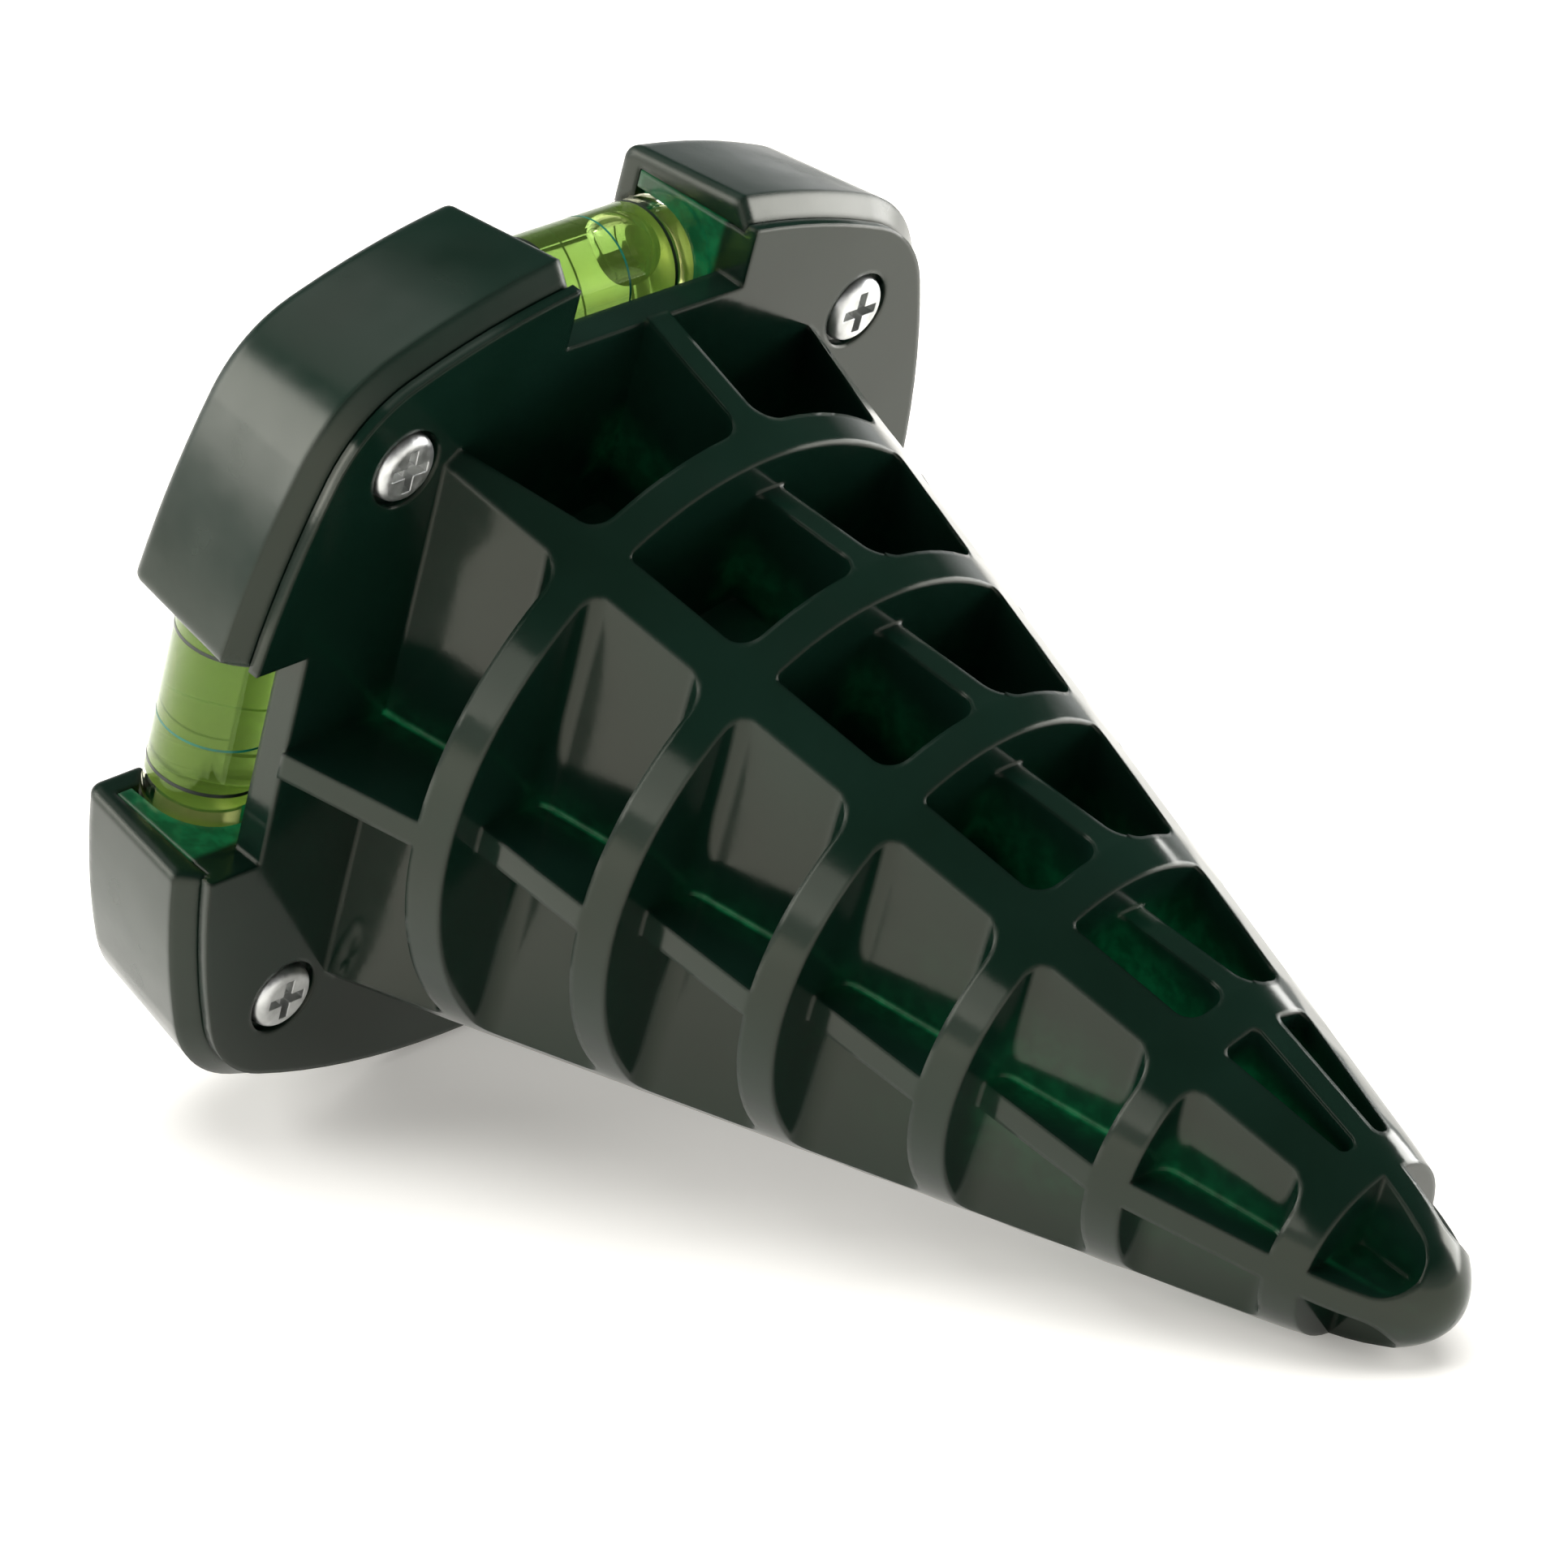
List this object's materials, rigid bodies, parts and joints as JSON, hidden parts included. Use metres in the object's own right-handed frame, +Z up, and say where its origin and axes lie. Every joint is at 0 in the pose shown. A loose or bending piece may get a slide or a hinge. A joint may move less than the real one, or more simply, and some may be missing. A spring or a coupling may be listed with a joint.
{
  "type": "garden ground socket with levelling vials",
  "caption": "Ribbed conical ground spike with a rounded-square collar, a blind pole socket and crossed levelling vials, lying on its side.",
  "frame": {"origin": "middle of the bottom of the bounding box of the part as it lies, so the ground it rests on is Z = 0", "axes": "+X towards the spike's tip, seen from above; +Z up; -Y is the side with the second vial. The spike's axis dips 19.83 degrees below +X."},
  "size_m": [0.1574, 0.1064, 0.1032],
  "materials": {
    "body_green": "glossy moulded dark bottle green, slightly translucent where thin",
    "zinc": "bright zinc plate",
    "clear_acrylic": "clear moulded acrylic with a faint yellow tint",
    "vial_plug": "pale translucent plug",
    "vial_fluid": "yellow-green liquid",
    "bubble": "trapped air"
  },
  "bodies": {
    "socket": {"spike_body": "body_green", "top_cap": "body_green", "front_screw": "zinc", "upper_rear_screw": "zinc", "lower_front_screw": "zinc", "lower_rear_screw": "zinc", "top_vial_tube": "clear_acrylic", "top_vial_plug": "vial_plug", "top_vial_fluid": "vial_fluid", "side_vial_tube": "clear_acrylic", "side_vial_plug": "vial_plug", "side_vial_fluid": "vial_fluid"},
    "top_bubble": {"top_vial_bubble": "bubble"},
    "side_bubble": {"side_vial_bubble": "bubble"}
  },
  "joints": [
    {"name": "top_bubble_slide", "type": "slide", "parent": "socket", "child": "top_bubble", "axis": [0, 1, 0], "range_m": [-0.0161, 0.0004]},
    {"name": "side_bubble_slide", "type": "slide", "parent": "socket", "child": "side_bubble", "axis": [0.3393, 0, 0.9407], "range_m": [-0.0195, 0]}
  ]
}
